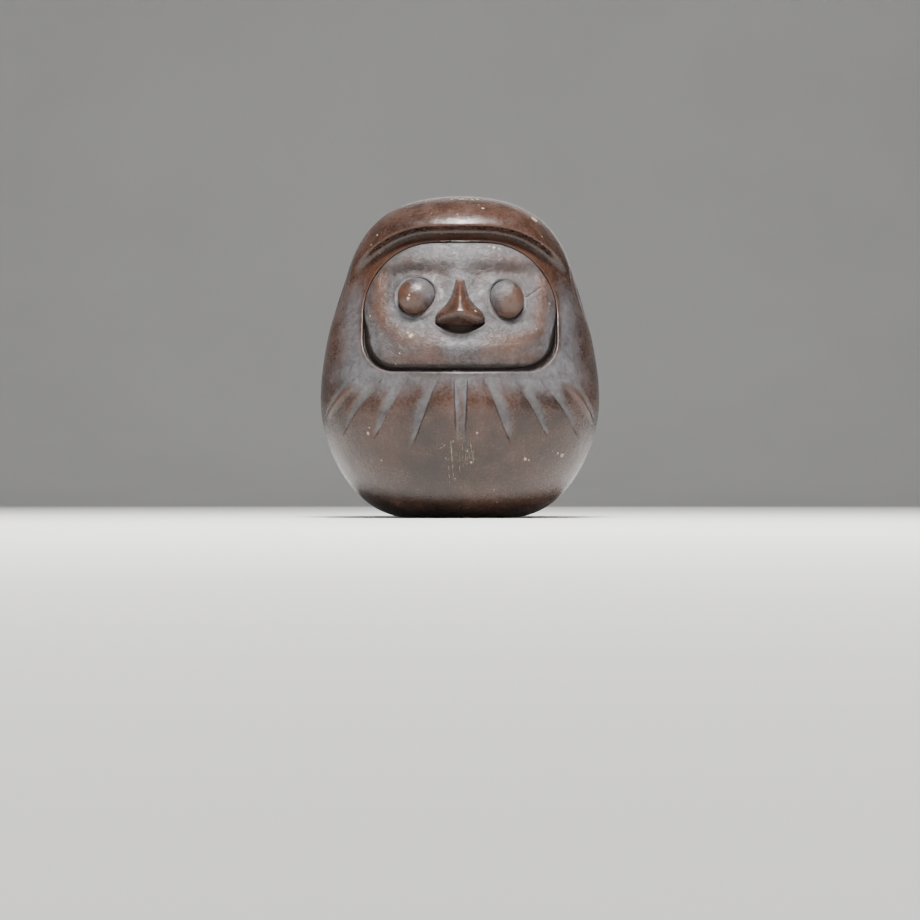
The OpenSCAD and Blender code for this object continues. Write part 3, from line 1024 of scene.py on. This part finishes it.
def scratches(g):
    """1 along each scratch, broken up and thinner at its ends."""
    total = 0.0
    wobble = g.math("MULTIPLY_ADD", g.noise(3.0, 2.0, 0.5), 1.0, -0.5)
    x, z = g.separate(0), g.separate(2)
    front = g.step(g.separate(1), -5.0, -8.0)
    broken = g.step(g.noise(1.6, 4.0, 0.7, (3.0, 1.0, 0.5)), 0.40, 0.56)
    for (ax, az), (bx, bz), half in SCRATCHES:
        dx, dz = bx - ax, bz - az
        length = math.hypot(dx, dz)
        # distance across and share along the line
        across = g.math("MULTIPLY_ADD", x, dz / length, (az * dx - ax * dz) / length)
        across = g.math("MULTIPLY_ADD", z, -dx / length, across)
        across = g.math("ABSOLUTE", g.math("MULTIPLY_ADD", wobble, 0.5, across))
        share = g.math("MULTIPLY_ADD", x, dx / length**2, -(ax * dx + az * dz) / length**2)
        share = g.math("MULTIPLY_ADD", z, dz / length**2, share)
        ends = g.times(g.step(share, -0.02, 0.08), g.step(share, 1.02, 0.7))
        total = g.math("MAXIMUM", total, g.times(g.step(across, half * 1.3, half * 0.5), ends))
    return g.times(total, front, broken)


def lacquer(name, node, tone=1.0, gloss=0.20, wrinkle=0.14):
    """Old dark lacquer: rubbed brown on edges, grey with dust in hollows, painted shade in the deepest
    corners, chipped down to a pale ground.
    """
    g = Graph(name)
    dust, wear, edge, painted_shade_mask = (g.attribute(n) for n in ("dust", "wear", "edge", "shelter"))
    broad, patches = g.noise(34.0, 3.0, 0.5), g.noise(9.0, 5.0, 0.62)
    fine, grain = g.noise(1.5, 6.0, 0.65), g.noise(0.45, 3.0, 0.6)

    colour = g.mix(g.step(g.sum(g.times(broad, 0.6), g.times(patches, 0.4)), 0.36, 0.66),
                   [c * tone for c in LACQUER_DARK], [c * tone for c in LACQUER_WARM])
    rubbed = g.sum(g.times(wear, 0.95), g.times(edge, 0.8), g.times(patches, 0.9), g.times(fine, 0.5))
    rubbed = g.step(rubbed, 0.75, 1.95)
    colour = g.mix(g.times(rubbed, 0.9), colour, [c * tone for c in LACQUER_RUBBED])
    # dust, thicker where the surface is pitted
    lying = g.sum(dust, g.times(broad, 0.3), g.times(patches, 0.9), g.times(fine, 0.8), g.times(edge, -0.7))
    lying = g.times(g.step(lying, 0.92, 2.35), 0.84)
    mottled = g.mix(g.step(g.noise(2.6, 6.0, 0.72), 0.36, 0.60), [c * 0.62 for c in DUST], DUST)
    colour = g.mix(lying, colour, mottled)
    # painted shade: the deepest corners, creases and the gap round the face are darkened
    painted_shade = g.step(g.sum(painted_shade_mask, g.times(fine, 0.25)), 0.85, 1.15)
    colour = g.mix(g.times(painted_shade, 0.75), colour, PAINTED_SHADE_DARK)
    # scattered specks
    speck = g.times(g.step(g.cells(5.5), 0.085, 0.05), g.step(patches, 0.50, 0.60))
    colour = g.mix(g.times(speck, 0.75), colour, SPECK)
    bare = chips(g, node)
    if node == "front_shell":
        bare = g.math("MAXIMUM", bare, g.times(scratches(g), 0.8))
    ground = g.mix(g.step(grain, 0.35, 0.65), [c * 0.6 for c in GROUND], GROUND)
    colour = g.mix(bare, colour, ground)

    roughness = g.sum(
        gloss, g.times(fine, 0.12), g.times(lying, 0.16), g.times(rubbed, 0.06), g.times(bare, 0.4)
    )
    creases = g.step(g.noise(4.5, 7.0, 0.72, (1.0, 1.0, 1.4), 0.5), 0.30, 0.62)
    height = g.sum(
        g.times(fine, wrinkle), g.times(grain, lying, 0.40), g.times(creases, wrinkle * 1.2),
        g.times(patches, 0.4), g.times(bare, -0.8), g.times(speck, -0.3),
    )
    return g.finish(colour, g.math("MINIMUM", roughness, 1.0), height, 0.38)


def fibres(name, pale, dark, stretch, size, rough):
    """Wood, bamboo or paper: long fibres with darker streaks."""
    g = Graph(name)
    streaks = g.noise(size, 5.0, 0.6, stretch, 0.4)
    stains = g.noise(8.0, 4.0, 0.6)
    colour = g.mix(g.step(streaks, 0.34, 0.66), dark, pale)
    colour = g.mix(g.times(g.step(stains, 0.48, 0.72), 0.5), colour, [c * 0.5 for c in dark])
    roughness = g.sum(rough, g.times(streaks, 0.2))
    return g.finish(colour, roughness, g.sum(streaks, g.times(g.noise(0.5, 3.0), 0.4)), 0.2)


def clay(name):
    """Dried clay with pale grit."""
    g = Graph(name)
    lumps, grit = g.noise(7.0, 5.0, 0.6), g.step(g.cells(1.6), 0.12, 0.3)
    colour = g.mix(g.step(lumps, 0.35, 0.65), (0.24, 0.15, 0.09), (0.42, 0.29, 0.18))
    colour = g.mix(grit, (0.50, 0.42, 0.32), colour)
    return g.finish(colour, g.sum(0.78, g.times(lumps, 0.15)), g.sum(lumps, g.times(grit, 0.3)), 0.6)


PAPER_PALE, PAPER_DARK = (0.50, 0.42, 0.30), (0.36, 0.29, 0.19)
FOOT_PAPER_PALE, FOOT_PAPER_DARK = (0.33, 0.26, 0.18), (0.20, 0.15, 0.10)
BAMBOO_PALE, BAMBOO_DARK = (0.52, 0.38, 0.20), (0.30, 0.19, 0.09)
DISC_PALE, DISC_DARK = (0.46, 0.31, 0.17), (0.27, 0.16, 0.08)


def dress(pieces):
    """Gives every surface its material."""
    body = lacquer("worn_lacquer", "front_shell")
    looks = {
        "front_shell": ("lacquered_shell", body),
        "back_shell": ("lacquered_shell", body),
        "face_panel": ("lacquered_face", lacquer("face_lacquer", "face_panel", 1.05, 0.27, 0.5)),
        "left_eye": ("lacquered_eye", lacquer("left_eye_lacquer", "left_eye", 1.1, 0.19, 0.2)),
        "right_eye": ("lacquered_eye", lacquer("right_eye_lacquer", "right_eye", 1.1, 0.21, 0.4)),
        "nose": ("lacquered_nose", lacquer("nose_lacquer", "nose", 0.95, 0.19, 0.12)),
    }
    for node, (slot, material) in looks.items():
        pieces[node].data.materials.append(material)
    bamboo = fibres("bamboo", BAMBOO_PALE, BAMBOO_DARK, (1.0, 0.12, 0.5), 0.5, 0.45)
    kept = {
        "seam_band": fibres("pasted_paper", PAPER_PALE, PAPER_DARK, (1.0, 0.4, 1.0), 1.6, 0.75),
        "base_cover": fibres("foot_paper", FOOT_PAPER_PALE, FOOT_PAPER_DARK, (0.5, 1.0, 1.0), 1.4, 0.72),
        "base_disc": fibres("disc_wood", DISC_PALE, DISC_DARK, (0.12, 1.0, 1.0), 1.2, 0.6),
        "base_weight": clay("clay"),
        "left_eye_pin": bamboo,
        "right_eye_pin": bamboo,
        "nose_pin": bamboo,
        "base_nails": bamboo,
    }
    for node, material in kept.items():
        for place in bpy.data.objects[node].material_slots:
            place.material = material


# ---------------------------------------------------------------- studio

def area_light(name, location, target, size, power, colour):
    """A soft box, sized in metres, that faces its target."""
    data = bpy.data.lights.new(name, "AREA")
    data.shape = "RECTANGLE"
    data.size, data.size_y = size
    data.energy, data.color = power, colour
    light = bpy.data.objects.new(name, data)
    bpy.context.scene.collection.objects.link(light)
    light.location = location
    light.rotation_euler = (Vector(target) - Vector(location)).to_track_quat("-Z", "Y").to_euler()


def make_studio():
    """A soft key from above and in front, as in the photograph, with a weak fill from each side."""
    middle = (0.0, 0.0, 0.08)
    area_light("key", (0.02, -0.60, 1.05), middle, (0.34, 0.24), 50.0, (1.0, 0.985, 0.96))
    area_light("fill", (-1.0, -0.8, 0.5), middle, (0.6, 0.6), 1.8, (0.95, 0.97, 1.0))
    area_light("side", (1.0, -0.6, 0.5), middle, (0.6, 0.6), 1.8, (1.0, 0.98, 0.96))
    area_light("back", (0.1, 1.4, 0.5), middle, (0.6, 0.5), 1.6, (1.0, 1.0, 1.0))
    world = bpy.data.worlds.new("studio")
    world.use_nodes = True
    background = world.node_tree.nodes["Background"]
    background.inputs["Color"].default_value = (0.95, 0.96, 1.0, 1.0)
    background.inputs["Strength"].default_value = 0.14
    bpy.context.scene.world = world


def make_floor():
    """A pale floor that curves up into a backdrop far behind the doll, sized in metres."""
    front, back, curve, top = -4.0, 2.0, 1.2, 4.5
    bm = bmesh.new()
    profile = [(front, 0.0), (back, 0.0)]
    for a in np.radians(np.arange(5, 91, 5)):
        profile.append((back + curve * math.sin(a), curve - curve * math.cos(a)))
    profile.append((back + curve, top))
    rows = [[bm.verts.new((x, y, z)) for y, z in profile] for x in (-5.0, 5.0)]
    for i in range(len(profile) - 1):
        bm.faces.new((rows[0][i], rows[1][i], rows[1][i + 1], rows[0][i + 1]))
    mesh = bpy.data.meshes.new("floor")
    bm.to_mesh(mesh)
    bm.free()
    mesh.shade_smooth()
    floor = bpy.data.objects.new("floor", mesh)
    bpy.context.scene.collection.objects.link(floor)
    g = Graph("floor_paper")
    clouds, tooth = g.noise(260.0, 3.0, 0.5), g.noise(1.4, 3.0, 0.6)
    colour = g.mix(g.step(clouds, 0.3, 0.7), (0.705, 0.705, 0.697), (0.735, 0.735, 0.725))
    mesh.materials.append(g.finish(colour, g.sum(0.86, g.times(tooth, 0.08)), tooth, 0.03))


make_camera()
pieces = make_pieces()
dress(pieces)
make_floor()
make_studio()
